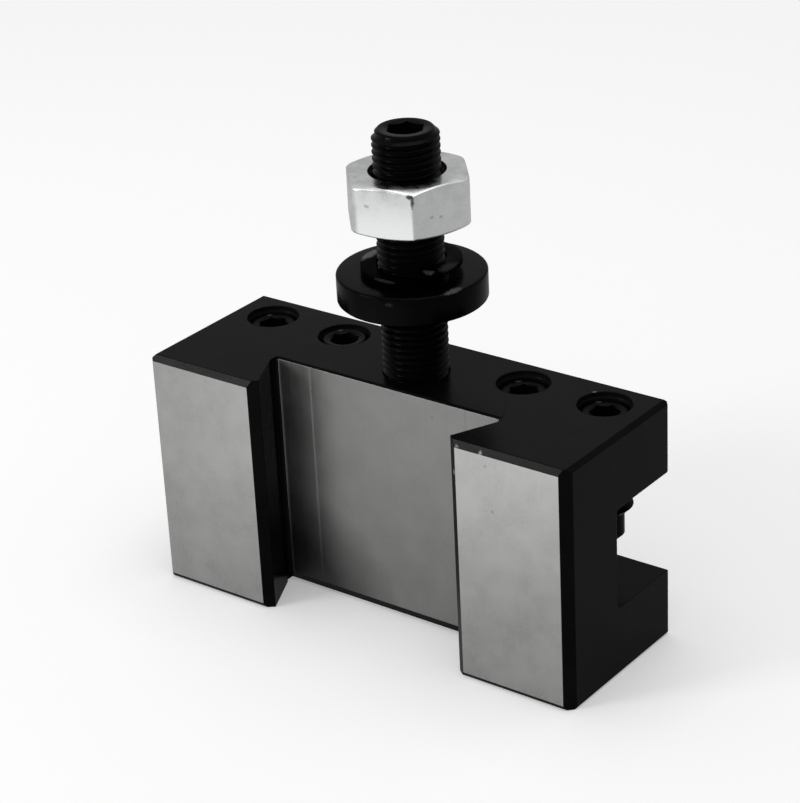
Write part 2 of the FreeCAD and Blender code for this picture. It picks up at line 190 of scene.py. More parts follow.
@dataclass(frozen=True)
class BlackOxide:
    """Hot black oxide on machined steel: a thin near-black skin with an oiled sheen.

    The oil film mirrors softly at flat angles, and the skin shows faint cloudy patches where
    the bath took differently. The grain of the real skin is too fine to show, so it is drawn
    coarser. The spans are the noise values between which a patch goes from deep to pale, and
    the sheen from smooth to dull.
    """

    name: str = "black_oxide_steel"
    deep: str = "#050506"
    pale: str = "#0A0A0B"
    specular: float = 0.047
    smooth: float = 0.17
    dull: float = 0.30
    cloud_mm: float = 7.0
    cloud_span: tuple[float, float] = (0.35, 0.65)
    sheen_span: tuple[float, float] = (0.7, 1.3)
    grain_mm: float = 0.22
    grain_depth_mm: float = 0.0025
    tool_mark_mm: float = 0.0
    tool_mark_depth_mm: float = 0.0
    axis: tuple[float, float] = (0.0, 0.0)
    marks: tuple[Mark, ...] = ()

    def build(self) -> bpy.types.Material:
        """Build the node material.

        Returns:
            The material.
        """
        material, tree, place = new_material(self.name)
        cloud = add_node(tree, "TexNoise", {"Vector": place, "Scale": per_metre(self.cloud_mm),
                                            "Detail": 4.0, "Roughness": 0.6})
        grain = add_node(tree, "TexNoise", {"Vector": place, "Scale": per_metre(self.grain_mm),
                                            "Detail": 2.0, "Roughness": 0.5})
        patch = add_node(tree, "MapRange", {0: cloud.outputs["Fac"], 1: self.cloud_span[0],
                                            2: self.cloud_span[1]})
        colour = add_node(tree, "Mix", {0: patch.outputs[0], 6: to_linear(self.deep),
                                        7: to_linear(self.pale)}, data_type="RGBA").outputs[2]
        for mark in self.marks:
            colour = mark.lay(tree, place, colour)
        spread = add_node(tree, "Math", {0: cloud.outputs["Fac"], 1: grain.outputs["Fac"]},
                          operation="ADD")
        roughness = add_node(tree, "MapRange", {
            0: spread.outputs[0], 1: self.sheen_span[0], 2: self.sheen_span[1],
            3: self.smooth, 4: self.dull})
        bump = add_node(tree, "Bump", {"Strength": 1.0, "Distance": self.grain_depth_mm * MM,
                                       "Height": grain.outputs["Fac"]})
        if self.tool_mark_mm:
            centred = add_node(tree, "Mapping", {
                "Vector": place, "Location": (-self.axis[0] * MM, -self.axis[1] * MM, 0.0)})
            turnings = add_node(tree, "TexWave", {
                "Vector": centred.outputs[0], "Scale": band_scale(self.tool_mark_mm),
                "Distortion": 0.4, "Detail": 1.0}, wave_type="RINGS", rings_direction="Z")
            bump = add_node(tree, "Bump", {
                "Strength": 1.0, "Distance": self.tool_mark_depth_mm * MM,
                "Height": turnings.outputs["Fac"], "Normal": bump.outputs[0]})
        shader = add_node(tree, "BsdfPrincipled", {
            "Base Color": colour, "Roughness": roughness.outputs[0],
            "Specular IOR Level": self.specular, "Normal": bump.outputs[0]})
        add_node(tree, "OutputMaterial", {"Surface": shader.outputs[0]})
        return material


@dataclass(frozen=True)
class TappedOxide:
    """A tapped bore, black with oxide and oil and ringed by the turns of its thread."""

    name: str = "black_oxide_tapped"
    colour: str = "#161616"
    pitch_mm: float = 1.25
    depth_mm: float = 0.15
    specular: float = 0.04
    roughness: float = 0.24

    def build(self) -> bpy.types.Material:
        """Build the node material.

        Returns:
            The material.
        """
        material, tree, place = new_material(self.name)
        turns = add_node(tree, "TexWave", {"Vector": place, "Scale": band_scale(self.pitch_mm)},
                         wave_type="BANDS", bands_direction="Z")
        bump = add_node(tree, "Bump", {"Strength": 1.0, "Distance": self.depth_mm * MM,
                                       "Height": turns.outputs["Fac"]})
        shader = add_node(tree, "BsdfPrincipled", {
            "Base Color": to_linear(self.colour), "Roughness": self.roughness,
            "Specular IOR Level": self.specular, "Normal": bump.outputs[0]})
        add_node(tree, "OutputMaterial", {"Surface": shader.outputs[0]})
        return material


@dataclass(frozen=True)
class GroundSteel:
    """Bare steel off the surface grinder: satin, streaked along Z, with a few small pits.

    The wheel leaves fine parallel lines, some 0.05 mm apart on the real face and drawn
    coarser here so that they show, and handling leaves faint dark spots. Where the middle
    was ground in a pass of its own, it lies a little deeper between two fine edges. The spans
    are noise values, as on black oxide. A pit stands in each cell whose random value is above
    pit_chance, and fades out between the shares of its radius in pit_edge.
    """

    name: str = "surface_ground_steel"
    bright: str = "#C8C8C7"
    worn: str = "#BEBEBD"
    stain: str = "#5A5958"
    smooth: float = 0.26
    dull: float = 0.34
    streak_mm: float = 0.25
    streak_length_mm: float = 14.0
    streak_depth_mm: float = 0.0005
    cloud_mm: float = 5.0
    cloud_span: tuple[float, float] = (0.36, 0.62)
    sheen_span: tuple[float, float] = (0.75, 1.25)
    pit_spacing_mm: float = 4.2
    pit_mm: float = 0.42
    pit_edge: tuple[float, float] = (0.4, 1.5)
    pit_chance: float = 0.62
    pit_strength: float = 0.4
    pass_half_mm: float = 0.0
    pass_slope_mm: float = 0.45
    pass_depth_mm: float = 0.04
    marks: tuple[Mark, ...] = ()

    def build(self) -> bpy.types.Material:
        """Build the node material.

        Returns:
            The material.
        """
        material, tree, place = new_material(self.name)
        squeeze = self.streak_mm / self.streak_length_mm
        along = add_node(tree, "Mapping", {"Vector": place, "Scale": (1.0, 1.0, squeeze)})
        streaks = add_node(tree, "TexNoise", {
            "Vector": along.outputs[0], "Scale": per_metre(self.streak_mm), "Detail": 3.0,
            "Roughness": 0.6})
        cloud = add_node(tree, "TexNoise", {"Vector": place, "Scale": per_metre(self.cloud_mm),
                                            "Detail": 5.0, "Roughness": 0.62})
        patch = add_node(tree, "MapRange", {0: cloud.outputs["Fac"], 1: self.cloud_span[0],
                                            2: self.cloud_span[1]})
        colour = add_node(tree, "Mix", {0: patch.outputs[0], 6: to_linear(self.worn),
                                        7: to_linear(self.bright)}, data_type="RGBA")
        cells = add_node(tree, "TexVoronoi", {
            "Vector": place, "Scale": per_metre(self.pit_spacing_mm), "Randomness": 1.0})
        edge = self.pit_mm / (2.0 * self.pit_spacing_mm)
        spot = add_node(tree, "MapRange", {
            0: cells.outputs["Distance"], 1: edge * self.pit_edge[0],
            2: edge * self.pit_edge[1], 3: self.pit_strength, 4: 0.0})
        which = add_node(tree, "SeparateXYZ", {0: cells.outputs["Color"]})
        chosen = add_node(tree, "Math", {0: which.outputs[0], 1: self.pit_chance},
                          operation="GREATER_THAN")
        pits = add_node(tree, "Math", {0: spot.outputs[0], 1: chosen.outputs[0]},
                        operation="MULTIPLY")
        stained = add_node(tree, "Mix", {0: pits.outputs[0], 6: colour.outputs[2],
                                         7: to_linear(self.stain)}, data_type="RGBA").outputs[2]
        for mark in self.marks:
            stained = mark.lay(tree, place, stained)
        spread = add_node(tree, "Math", {0: streaks.outputs["Fac"], 1: cloud.outputs["Fac"]},
                          operation="ADD")
        roughness = add_node(tree, "MapRange", {
            0: spread.outputs[0], 1: self.sheen_span[0], 2: self.sheen_span[1],
            3: self.smooth, 4: self.dull})
        bump = add_node(tree, "Bump", {"Strength": 1.0, "Distance": self.streak_depth_mm * MM,
                                       "Height": streaks.outputs["Fac"]})
        if self.pass_half_mm:
            spot_at = add_node(tree, "SeparateXYZ", {0: place})
            across = add_node(tree, "Math", {0: spot_at.outputs[0]}, operation="ABSOLUTE")
            half = self.pass_slope_mm / 2.0
            step = add_node(tree, "MapRange", {
                0: across.outputs[0], 1: (self.pass_half_mm - half) * MM,
                2: (self.pass_half_mm + half) * MM}, interpolation_type="SMOOTHSTEP")
            bump = add_node(tree, "Bump", {
                "Strength": 1.0, "Distance": self.pass_depth_mm * MM,
                "Height": step.outputs[0], "Normal": bump.outputs[0]})
        shader = add_node(tree, "BsdfPrincipled", {
            "Base Color": stained, "Metallic": 1.0,
            "Roughness": roughness.outputs[0], "Normal": bump.outputs[0]})
        add_node(tree, "OutputMaterial", {"Surface": shader.outputs[0]})
        return material


@dataclass(frozen=True)
class ChannelFloor(GroundSteel):
    """The channel floor: darker and duller than the lands."""

    name: str = "ground_channel_floor"
    bright: str = "#A2A2A1"
    worn: str = "#9B9B9A"
    smooth: float = 0.46
    dull: float = 0.54
    pass_half_mm: float = 14.1


@dataclass(frozen=True)
class ZincPlate:
    """Bright zinc plate on a forged nut: pale, faintly mottled and softly reflecting.

    The spans are values of the mottling noise. Over the highest of them lie grey smudges.
    """

    name: str = "bright_zinc_plate"
    bright: str = "#F5F6F6"
    dim: str = "#E9EAEB"
    smudge: str = "#8C8D8E"
    smooth: float = 0.22
    dull: float = 0.36
    mottle_mm: float = 2.2
    mottle_span: tuple[float, float] = (0.38, 0.6)
    sheen_span: tuple[float, float] = (0.35, 0.65)
    smudge_span: tuple[float, float] = (0.69, 0.76)
    smudge_strength: float = 0.55
    grain_mm: float = 0.30
    grain_depth_mm: float = 0.004
    marks: tuple[Mark, ...] = ()

    def build(self) -> bpy.types.Material:
        """Build the node material.

        Returns:
            The material.
        """
        material, tree, place = new_material(self.name)
        mottle = add_node(tree, "TexNoise", {"Vector": place, "Scale": per_metre(self.mottle_mm),
                                             "Detail": 4.0, "Roughness": 0.6})
        grain = add_node(tree, "TexNoise", {"Vector": place, "Scale": per_metre(self.grain_mm),
                                            "Detail": 2.0})
        patch, smudges, roughness = (
            add_node(tree, "MapRange", {0: mottle.outputs["Fac"], 1: low, 2: high, 3: first,
                                        4: last})
            for (low, high), first, last in (
                (self.mottle_span, 0.0, 1.0), (self.smudge_span, 0.0, self.smudge_strength),
                (self.sheen_span, self.smooth, self.dull)))
        colour = add_node(tree, "Mix", {0: patch.outputs[0], 6: to_linear(self.dim),
                                        7: to_linear(self.bright)}, data_type="RGBA")
        marked = add_node(tree, "Mix", {0: smudges.outputs[0], 6: colour.outputs[2],
                                        7: to_linear(self.smudge)}, data_type="RGBA").outputs[2]
        for mark in self.marks:
            marked = mark.lay(tree, place, marked)
        bump = add_node(tree, "Bump", {"Strength": 1.0, "Distance": self.grain_depth_mm * MM,
                                       "Height": grain.outputs["Fac"]})
        shader = add_node(tree, "BsdfPrincipled", {
            "Base Color": marked, "Metallic": 1.0,
            "Roughness": roughness.outputs[0], "Normal": bump.outputs[0]})
        add_node(tree, "OutputMaterial", {"Surface": shader.outputs[0]})
        return material


@dataclass(frozen=True)
class StudioPaper:
    """Seamless white paper: white to the camera, with the shadow kept.

    In reflections it shows a painted pool of light: full in front of the object, and beyond it
    falling off to a share of that.
    """

    name: str = "white_paper"
    colour: str = "#F2F2F2"
    lift: float = 0.25
    pool_mm: tuple[float, float] = (-20.0, -130.0)
    pool_inner_mm: float = 40.0
    pool_outer_mm: float = 110.0
    beyond: float = 0.49

    def build(self) -> bpy.types.Material:
        """Build the node material.

        Returns:
            The material.
        """
        material, tree, place = new_material(self.name)
        rays = add_node(tree, "LightPath")
        centre = (self.pool_mm[0] * MM, self.pool_mm[1] * MM, 0.0)
        away = add_node(tree, "VectorMath", {0: place, 1: centre}, operation="DISTANCE")
        pool = add_node(tree, "MapRange", {
            0: away.outputs["Value"], 1: self.pool_inner_mm * MM, 2: self.pool_outer_mm * MM,
            3: 1.0, 4: self.beyond}, interpolation_type="SMOOTHSTEP")
        # Painted light: glossy rays see the paper's tone scaled by the pool.
        shown = add_node(tree, "Mix", {0: rays.outputs["Is Glossy Ray"], 2: 1.0,
                                       3: pool.outputs[0]}, data_type="FLOAT")
        tone = add_node(tree, "VectorMath", {0: to_linear(self.colour)[:3],
                                             "Scale": shown.outputs[0]}, operation="SCALE")
        paper = add_node(tree, "BsdfDiffuse", {"Color": tone.outputs[0]})
        seen = add_node(tree, "Math", {0: rays.outputs["Is Camera Ray"],
                                       1: rays.outputs["Is Glossy Ray"]}, operation="MAXIMUM")
        full = add_node(tree, "Math", {0: seen.outputs[0], 1: self.lift}, operation="MULTIPLY")
        lift = add_node(tree, "Math", {0: full.outputs[0], 1: shown.outputs[0]},
                        operation="MULTIPLY")
        glow = add_node(tree, "Emission", {"Strength": lift.outputs[0]})
        both = add_node(tree, "AddShader", {0: paper.outputs[0], 1: glow.outputs[0]})
        add_node(tree, "OutputMaterial", {"Surface": both.outputs[0]})
        return material


def centre_of(node: str) -> tuple[float, float, float, float]:
    """Axis and ends of an upright CAD node.

    Args:
        node: name of the CAD node.

    Returns:
        X and Y of its axis, its lowest and its highest Z, in millimetres.
    """
    low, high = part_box(node)
    return ((low.x + high.x) / (2 * MM), (low.y + high.y) / (2 * MM), low.z / MM, high.z / MM)


def grid_faces(rows: int, columns: int, climb: int = 0) -> np.ndarray:
    """Quads of a grid whose last column joins its first.

    The corners of the quad in row i and column j are (i, j), (i, j+1), (i+1, j+1), (i+1, j).
    Past the last column, row i goes on in the first column of row i + climb, or of the last
    row, so that a thread's surface climbs by its pitch in a full turn.

    Args:
        rows: number of rings.
        columns: points on each ring.
        climb: rows that the seam climbs, 0 where the rings are closed.

    Returns:
        Array of (rows - 1) * columns quads as point numbers.
    """
    row, column = np.meshgrid(np.arange(rows - 1), np.arange(columns), indexing="ij")
    seam = column == columns - 1
    after = np.where(seam, 0, column + 1)
    lower = np.minimum(row + np.where(seam, climb, 0), rows - 1)
    upper = np.minimum(row + 1 + np.where(seam, climb, 0), rows - 1)
    quads = np.stack([row * columns + column, lower * columns + after,
                      upper * columns + after, (row + 1) * columns + column], axis=-1)
    return quads.reshape(-1, 4)


def closed_faces(rows: int, columns: int) -> tuple[np.ndarray, np.ndarray]:
    """Quads of a grid that joins up both ways, as round a ring-shaped piece.

    Args:
        rows: number of rings.
        columns: points on each ring.

    Returns:
        The quads as point numbers, and the ring in which each starts.
    """
    ring, column = np.divmod(grid_faces(rows + 1, columns), columns)
    return ring % rows * columns + column, ring[:, 0]


def make_mesh(name: str, points: np.ndarray, faces: list[list[int]],
              zones: list[int] | None = None) -> bpy.types.Mesh:
    """Turn points and faces into a closed mesh that faces outwards.

    Args:
        name: name of the mesh.
        points: coordinates in millimetres, one row for each point.
        faces: point numbers of each face.
        zones: material index of each face, or None for one material.

    Returns:
        The mesh, in metres, with its doubles merged and its normals outwards.
    """
    mesh = bpy.data.meshes.new(name)
    mesh.from_pydata((points * MM).tolist(), [], faces)
    if zones is not None:
        mesh.polygons.foreach_set("material_index", np.array(zones, dtype=np.int32))
    work = bmesh.new()
    work.from_mesh(mesh)
    bmesh.ops.remove_doubles(work, verts=work.verts, dist=MERGE_DISTANCE)
    bmesh.ops.recalc_face_normals(work, faces=work.faces)
    work.to_mesh(mesh)
    work.free()
    mesh.update()
    return mesh


def make_object(name: str, mesh: bpy.types.Mesh) -> bpy.types.Object:
    """Put a mesh into the scene as an object at the origin.

    Args:
        name: name of the object.
        mesh: its mesh, with its place in its points.

    Returns:
        The object.
    """
    piece = bpy.data.objects.new(name, mesh)
    bpy.context.scene.collection.objects.link(piece)
    return piece


def stand_in(piece: bpy.types.Object, node: str, body: str) -> bpy.types.Object:
    """Let a piece replace a CAD node and move with a body.

    Args:
        piece: the finished piece.
        node: name of the CAD node that it replaces.
        body: name of the body that it rides on.

    Returns:
        The piece.
    """
    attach(piece, body)
    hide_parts(node)
    return piece


def shade(mesh: bpy.types.Mesh, sharp_degrees: float) -> None:
    """Shade a mesh smooth and keep its sharp edges crisp.

    Args:
        mesh: the mesh.
        sharp_degrees: angle from which an edge counts as sharp.
    """
    mesh.polygons.foreach_set("use_smooth", np.ones(len(mesh.polygons), dtype=bool))
    mesh.set_sharp_from_angle(angle=math.radians(sharp_degrees))


def prism(outline: np.ndarray, axis: int, low: float, high: float) -> tuple[np.ndarray, list]:
    """Carry a closed outline along one axis.

    Every point of the outline appears twice, at the low and at the high end of the axis, and
    the two remaining coordinates follow in the order X, Y, Z.

    Args:
        outline: corners, one row of two coordinates each.
        axis: 0, 1 or 2 for X, Y or Z.
        low: lower end along the axis, in millimetres.
        high: upper end along the axis, in millimetres.

    Returns:
        The points, and the faces: one quad for each side, then both ends.
    """
    count = len(outline)
    ends = np.repeat([low, high], count)[:, None]
    points = np.insert(np.tile(outline, (2, 1)), [axis], ends, axis=1)
    sides = grid_faces(2, count).tolist()
    caps = [list(range(count)), list(range(count, 2 * count))]
    return points, sides + caps


def polar(radius: Any, angle: np.ndarray, height: Any) -> np.ndarray:
    """Points round the Z axis: (r cos a, r sin a, z), each a number or an array.

    Args:
        radius: distance from the axis, in millimetres.
        angle: angle from X towards Y, in radians.
        height: Z, in millimetres.

    Returns:
        Array of the shape that the three make together, by three coordinates.
    """
    radius, angle, height = np.broadcast_arrays(radius, angle, height)
    return np.stack([radius * np.cos(angle), radius * np.sin(angle), height], axis=-1)


def turned(profile: np.ndarray, columns: int) -> np.ndarray:
    """Turn a half profile round the Z axis.

    The columns divide the full turn evenly, and each row keeps its radius and height.

    Args:
        profile: radius and height of each row.
        columns: points on each ring.

    Returns:
        Array of rows by columns by three coordinates.
    """
    angle = np.linspace(0.0, 2 * math.pi, columns, endpoint=False)
    return polar(profile[:, :1], angle, profile[:, 1:])


def softened(corners: np.ndarray, reach: float, steps: int = 3) -> np.ndarray:
    """Round every corner of a closed polygon with a small parabola.

    Each corner C becomes (1-t)^2 A + 2 t (1-t) C + t^2 B, where A and B lie on the two sides
    at the given reach from C, or at SHORT_SIDE of a side that is short.

    Args:
        corners: corners of the polygon, one row each.
        reach: how far from the corner the rounding starts, in millimetres.
        steps: pieces that each rounding has.

    Returns:
        The corners of the rounded polygon.
    """
    ends = []
    for neighbour in (1, -1):
        side = np.roll(corners, neighbour, axis=0) - corners
        length = np.linalg.norm(side, axis=1, keepdims=True)
        ends.append(corners + side / length * np.minimum(reach, SHORT_SIDE * length))
    start, end = ends
    t = np.linspace(0.0, 1.0, steps + 1)[None, :, None]
    curve = ((1 - t) ** 2 * start[:, None] + 2 * t * (1 - t) * corners[:, None]
             + t ** 2 * end[:, None])
    return curve.reshape(-1, corners.shape[1])


def hexagon_angles(per_side: int) -> np.ndarray:
    """Angles round a hexagon, closer together near its corners.

    On a side that spans 60 degrees, the angle from the side's middle is
    30 * sign(s) * (1 - (1 - |s|)^2), with s running evenly from -1 to 1.

    Args:
        per_side: points on each side.

    Returns:
        Six times per_side angles in radians, from a corner at angle 0.
    """
    s = np.linspace(-1.0, 1.0, per_side, endpoint=False)
    middle = 30.0 * np.sign(s) * (1.0 - (1.0 - np.abs(s)) ** 2)
    sides = np.arange(6)[:, None] * 60.0 + 30.0
    return np.radians((sides + middle).ravel())


def hexagon_radius(angle: np.ndarray, flats: float,
                   corner: np.ndarray | None = None) -> np.ndarray:
    """Distance from the axis to a hexagon with a corner at angle 0.

    Along a side it is a / cos(p), where a is half the width across flats and p the angle from
    the side's middle. Near a corner it follows a circle of the corner radius c whose centre
    lies at d = (a - c) / cos 30 on the corner's line: d cos q + sqrt(c^2 - d^2 sin^2 q), with
    q the angle from the corner.

    Args:
        angle: angles in radians.
        flats: width across flats, in millimetres.
        corner: radius of the nearest corner for each angle, in millimetres, or None where
            all corners are sharp.

    Returns:
        One radius for each angle.
    """
    half = flats / 2
    from_corner = np.mod(angle + math.pi / 6, math.pi / 3) - math.pi / 6
    from_side = math.pi / 6 - np.abs(from_corner)
    straight = half / np.cos(from_side)
    if corner is None:
        return straight
    centre = (half - corner) / math.cos(math.pi / 6)
    sine = centre * np.sin(from_corner)
    rounded = centre * np.cos(from_corner) + np.sqrt(np.maximum(corner ** 2 - sine ** 2, 0.0))
    limit = np.arctan2(corner / 2, centre + corner * math.cos(math.pi / 6))
    return np.where(np.abs(from_corner) < limit, rounded, straight)


@dataclass
class ThreadForm:
    """Metric thread of one pitch, as rows of the turned surface.

    One turn has eight rows. Their places along the pitch are phases, and their depths are
    shares of the thread's depth, with the crest and the root slightly rounded.
    """

    crest: float
    pitch: float
    depth_share: float = 0.6134
    phases: tuple[float, ...] = (0.0, 0.03, 0.095, 0.125, 0.4375, 0.5, 0.625, 0.6875)
    depths: tuple[float, ...] = (0.07, 0.0, 0.0, 0.07, 0.94, 1.0, 1.0, 0.94)

    def surface(self, low: float, high: float, low_radius: float, high_radius: float,
                angle: np.ndarray) -> np.ndarray:
        """Rings of the thread between two heights, both ends bevelled at 45 degrees.

        Row k stands for turn n and phase f, and its height at angle a is
        low + pitch * (n + f + a / 2 pi - 1), held between low and high. Its radius is the
        crest less the phase's depth, held under the two end bevels, whose radius grows by
        one for each millimetre from the end.

        Args:
            low: height of the lower end, in millimetres.
            high: height of the upper end, in millimetres.
            low_radius: radius at the lower end.
            high_radius: radius at the upper end.
            angle: angles of the columns in radians, rising, less than a full turn.

        Returns:
            Array of rows by columns by three coordinates.
        """
        turns = int(math.ceil((high - low) / self.pitch)) + 2
        phase = np.array(self.phases)
        step = (np.arange(turns)[:, None] + phase).reshape(-1, 1)
        share = (angle - angle[0]) / (2 * math.pi)
        height = np.clip(low + self.pitch * (step + share - 1.0), low, high)
        depth = np.tile(self.depths, turns)[:, None] * self.depth_share * self.pitch
        bevel = np.minimum(low_radius + height - low, high_radius + high - height)
        return polar(np.minimum(self.crest - depth, bevel), angle, height)

    @property
    def rows_per_turn(self) -> int:
        """Rows that one turn of the thread has."""
        return len(self.phases)


@dataclass
class ThreadedScrew:
    """A headless screw: thread, bevelled ends, hexagon socket and, if it has one, a dog point.

    The countersink's radius and the depth of the drill point under the socket are shares of
    the socket's width. The edge ring keeps a flat end's edge crisp.
    """

    node: str
    body: str
    slot: str
    finish: BlackOxide
    diameter: float
    pitch: float
    end_bevel: float
    socket: float
    socket_depth: float
    turn: float = 0.0
    dog_diameter: float = 0.0
    dog_length: float = 0.0
    dog_bevel: float = 0.0
    rim_share: float = 0.6
    drill_share: float = 0.25
    edge_ring: float = 0.05
    crisp_degrees: float = 32.0
    columns: int = 72

    def socket_rings(self, length: float, angle: np.ndarray) -> list[np.ndarray]:
        """Rings of the countersink and the hexagon socket, from the rim down to the pole.

        The countersink falls by tan 30 for each millimetre inwards, so it meets the hexagon
        at a height of its own on each column.

        Args:
            length: length of the screw, in millimetres.
            angle: angles of the columns in radians.

        Returns:
            Rings of points, each columns by three.
        """
        rim = self.rim_share * self.socket
        radius = hexagon_radius(angle - math.radians(self.turn), self.socket)
        meeting = length - (rim - radius) * math.tan(math.pi / 6)
        floor = length - self.socket_depth
        depths = [(rim, length), (radius, meeting), (radius, floor),
                  (0.0, floor - self.drill_share * self.socket)]
        return [polar(r, angle, z) for r, z in depths]

    def build(self) -> bpy.types.Object:
        """Build the screw in the place of its CAD node.

        Rings on the same columns run from the pole of the foot to the pole of the socket:
        first those of the foot, which is flat or a bevelled dog point, then those of the
        thread, then those of the head. Quads join each ring to the next.

        Returns:
            The screw.
        """
        x, y, low, high = centre_of(self.node)
        length = high - low
        crest = self.diameter / 2
        angle = np.linspace(0.0, 2 * math.pi, self.columns, endpoint=False)
        angle = angle + math.radians(self.turn)
        form = ThreadForm(crest, self.pitch)
        if self.dog_length:
            dog = self.dog_diameter / 2
            start = self.dog_length
            rows = np.array([[0.0, 0.0], [dog - self.dog_bevel, 0.0], [dog, self.dog_bevel],
                             [dog, start]])
            low_radius = dog
        else:
            start = 0.0
            low_radius = crest - self.end_bevel
            rows = np.array([[0.0, 0.0], [low_radius - self.edge_ring, 0.0]])
        foot = polar(rows[:, :1], angle, rows[:, 1:])
        thread = form.surface(start, length, low_radius, crest - self.end_bevel, angle)
        head = np.stack(self.socket_rings(length, angle))
        foot_points, thread_points = foot.reshape(-1, 3), thread.reshape(-1, 3)
        points = np.concatenate([foot_points, thread_points, head.reshape(-1, 3)])
        first_thread = len(foot_points)
        first_head = first_thread + len(thread_points)
        faces = grid_faces(len(foot) + 1, self.columns).tolist()
        faces += (grid_faces(len(thread), self.columns, form.rows_per_turn)
                  + first_thread).tolist()
        last_row = first_head - self.columns
        faces += (grid_faces(len(head) + 1, self.columns) + last_row).tolist()
        mesh = make_mesh(self.node + "_threaded", points + [x, y, low], faces)
        shade(mesh, self.crisp_degrees)
        mesh.materials.append(self.finish.build())
        return stand_in(make_object(self.node + "_threaded", mesh), self.node, self.body)


@dataclass
class HolderBlock:
    """The milled block: dovetail channel, ground faces, tool slot and screw holes.

    A bevel of two sizes has its width along Y and its height along Z. The stud's hole is given
    as X and Y of its axis, its radius and the height of its bottom. The cutters reach outside
    the block by the length named past.
    """

    node: str = "holder_body"
    half_length: float = 37.25
    front: float = -13.2
    back: float = 13.2
    height: float = 38.1
    land_edge: float = 18.65
    throat: float = 17.2
    lip_depth: float = 1.15
    flank_tangent: float = math.tan(math.radians(25.0))
    channel_depth: float = 9.15
    root_fillet: float = 0.9
    root_steps: int = 12
    ground_steps: int = 3
    corner_break: float = 0.35
    wide_corner: float = 1.4
    slot_floor: float = 10.85
    slot_ceiling: float = 26.75
    slot_wall: float = -0.8
    slot_root: float = 0.4
    slot_mouth: float = 0.5
    land_bevel: tuple[float, float] = (0.55, 1.05)
    land_foot_bevel: tuple[float, float] = (0.4, 0.75)
    end_bevel: float = 0.65
    floor_bevel: tuple[float, float] = (0.3, 0.3)
    floor_bevel_reach: float = 20.3
    floor_foot_bevel: tuple[float, float] = (0.8, 1.5)
    edge_break: float = 0.3
    hole_lead: float = 0.05
    stud_hole: tuple[float, float, float, float] = (0.5, 2.95, 4.95, 29.6)
    screw_holes: tuple[float, ...] = (-30.2, -16.35, 16.35, 30.2)
    screw_y: float = 7.4
    screw_radius: float = 4.0
    hole_columns: int = 96
    soft_edge: float = 0.09
    soft_degrees: float = 20.0
    past: float = 1.0
    # Pale burrs on the lands' edges, and first a painted highlight: a glint on the far rim of
    # the fourth screw hole.
    burrs_and_rim_glint: tuple[Mark, ...] = (
        Mark((28.0, 9.9, 38.1), (1.6, 0.4, 0.3), "#C6C6C5"),
        Mark((23.0, -13.1, 37.3), (0.35, 0.4, 0.5), "#9A9A99"),
        Mark((19.0, -12.9, 37.2), (0.4, 0.4, 0.4), "#8C8C8B"),
        Mark((18.3, -12.9, 33.0), (0.3, 0.4, 0.5), "#A0A09F"))
    # Painted shade: a near-black ellipsoid that darkens the channel floor and its left root
    # towards the bottom.
    root_painted_shade: tuple[Mark, ...] = (
        Mark((-21.0, -4.05, -4.0), (23.0, 4.0, 21.0), "#060606", 0.72, 80.0),)

    def reach(self) -> float:
        """Half width of the channel at its floor, before its roots are rounded."""
        return self.throat + (self.channel_depth - self.lip_depth) * self.flank_tangent

    def plan(self) -> tuple[np.ndarray, list[int]]:
        """Outline of the block from above and the finish of each side.

        Each root of the dovetail is an arc that touches the channel floor and the flank. Its
        centre lies the fillet radius in front of the floor, and radius / tan(angle / 2) inside
        the corner, with the angle between flank and floor. The grinding that cleaned the floor
        reaches over its first steps only, and the rest is still black.

        Returns:
            Corners in order, and for each the zone of the side that starts there.
        """
        floor = self.front + self.channel_depth
        slope = math.atan(self.flank_tangent)
        radius = self.root_fillet
        centre = self.reach() - radius / math.tan((math.pi / 2 - slope) / 2)
        sweep = np.linspace(math.pi / 2, -slope, self.root_steps + 1)
        arc = np.stack([centre + radius * np.cos(sweep),
                        floor - radius + radius * np.sin(sweep)], axis=-1)
        end = self.half_length
        small, wide = self.corner_break, self.wide_corner
        oxide, land, ground = int(Zone.OXIDE), int(Zone.LAND), int(Zone.FLOOR)
        left = [(-x, y, ground if step <= self.ground_steps else oxide)
                for step, (x, y) in enumerate(arc)]
        right = [(x, y, ground if step < self.ground_steps else oxide)
                 for step, (x, y) in enumerate(arc)]
        sides = [
            (-end + small, self.front, land), (-self.land_edge, self.front, oxide),
            (-self.throat, self.front + self.lip_depth, oxide), *left[::-1], *right,
            (self.throat, self.front + self.lip_depth, oxide),
            (self.land_edge, self.front, land), (end - wide, self.front, oxide),
            (end, self.front + wide, oxide), (end, self.back - small, oxide),
            (end - small, self.back, oxide), (-end + small, self.back, oxide),
            (-end, self.back - small, oxide), (-end, self.front + small, oxide),
        ]
        return np.array([[x, y] for x, y, _ in sides]), [zone for _, _, zone in sides]

    def slot_section(self) -> np.ndarray:
        """Section of the tool slot across X, with bevelled roots and an eased mouth.

        It is a rectangle between the slot's floor and ceiling, from its wall to the back. The
        corners at the wall are cut off by slot_root, and from slot_mouth before the back it
        widens at 45 degrees.

        Returns:
            Corners, one row of Y and Z each.
        """
        root, mouth = self.slot_root, self.slot_mouth
        low, high, wall = self.slot_floor, self.slot_ceiling, self.slot_wall
        outside, wider = self.back + self.past, mouth + self.past
        return np.array([
            [wall + root, low], [self.back - mouth, low], [outside, low - wider],
            [outside, high + wider], [self.back - mouth, high], [wall + root, high],
            [wall, high - root], [wall, low + root]])

    def wedges(self) -> list[tuple[str, np.ndarray, int, float, float]]:
        """Outlines that take the bevels off the block's edges.

        Returns:
            Name, outline, axis and both ends of each wedge.
        """
        end, top, past = self.half_length, self.height, self.past
        floor = self.front + self.channel_depth
        wide = end + past

